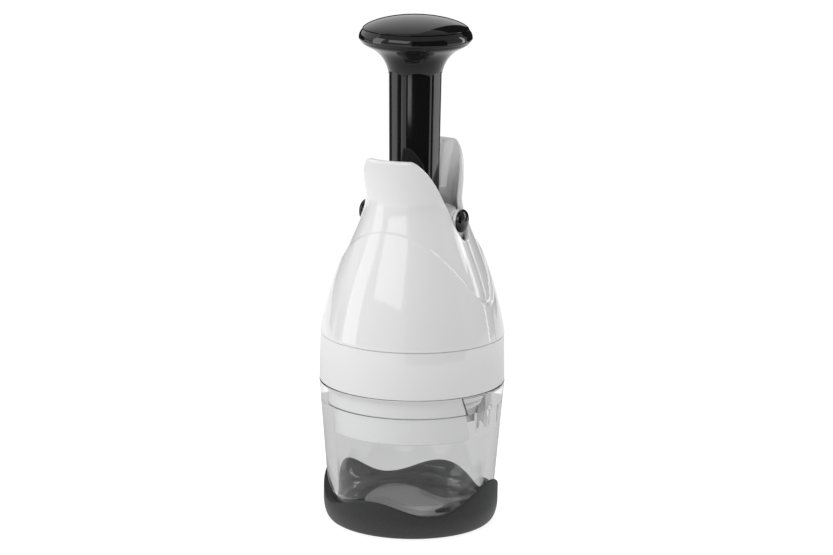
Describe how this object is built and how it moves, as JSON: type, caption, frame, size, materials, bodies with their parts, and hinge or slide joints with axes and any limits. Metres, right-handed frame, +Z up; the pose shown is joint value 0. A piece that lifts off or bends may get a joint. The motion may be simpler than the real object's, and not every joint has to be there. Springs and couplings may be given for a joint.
{
  "type": "food chopper",
  "caption": "Hand-pressed food chopper: a push-down knob drives a turning zigzag blade into a clear cup on a rubber foot, under a white housing of hinged wings.",
  "frame": {"origin": "centre of the foot's flat underside", "axes": "+Z up along the plunger; +X through the side pivots of the wings; the front wing faces -Y"},
  "size_m": [0.093, 0.093, 0.2549],
  "materials": {
    "white_plastic": "high gloss",
    "black_plastic": "high gloss",
    "clear_plastic": "clear polished",
    "grey_rubber": "fine matte",
    "steel": "satin",
    "nylon": "satin"
  },
  "bodies": {
    "base": {"foot": "grey_rubber", "cup": "clear_plastic"},
    "head": {"collar": "white_plastic", "frame": "nylon", "frame_screw_1": "steel", "frame_screw_2": "steel", "frame_screw_3": "steel", "frame_screw_4": "steel", "ratchet_ring": "nylon", "index_nut": "nylon", "lower_washer": "steel", "return_spring": "steel", "pivot_pin_left": "steel", "pivot_pin_right": "steel", "pivot_cap_left": "black_plastic", "pivot_cap_right": "black_plastic"},
    "front_wing": {"front_wing": "white_plastic"},
    "rear_wing": {"rear_wing": "white_plastic"},
    "plunger": {"handle": "black_plastic", "knob_cap": "black_plastic", "stop_ring": "nylon", "stop_screw_left": "steel", "stop_screw_right": "steel", "rod_seat": "nylon", "thrust_washer": "steel"},
    "blade_unit": {"twist_rod": "steel", "rod_clip": "steel", "blade_carrier": "nylon", "carrier_screw": "steel", "blade": "steel", "blade_rivet_1": "steel", "blade_rivet_2": "steel", "blade_rivet_3": "steel"}
  },
  "joints": [
    {"name": "head_lift", "type": "slide", "parent": "base", "child": "head", "axis": [0, 0, 1], "range_m": [0, 0.1]},
    {"name": "front_wing_hinge", "type": "hinge", "parent": "head", "child": "front_wing", "pos_m": [0, 0, 0.155], "axis": [-1, 0, 0], "range_deg": [0, 10]},
    {"name": "rear_wing_hinge", "type": "hinge", "parent": "head", "child": "rear_wing", "pos_m": [0, 0, 0.155], "axis": [1, 0, 0], "range_deg": [0, 10]},
    {"name": "plunger_press", "type": "slide", "parent": "head", "child": "plunger", "axis": [0, 0, -1], "range_m": [0, 0.0415], "stiffness_N_per_m": 300, "springref_m": -0.015, "deforming": ["return_spring"]},
    {"name": "blade_turn", "type": "hinge", "parent": "plunger", "child": "blade_unit", "pos_m": [0, 0, 0.0625], "axis": [0, 0, 1], "range_deg": [0, 41.6]}
  ],
  "couplings": [
    {"joint": "blade_turn", "follows": "plunger_press", "rad_per_m": 17.453}
  ]
}
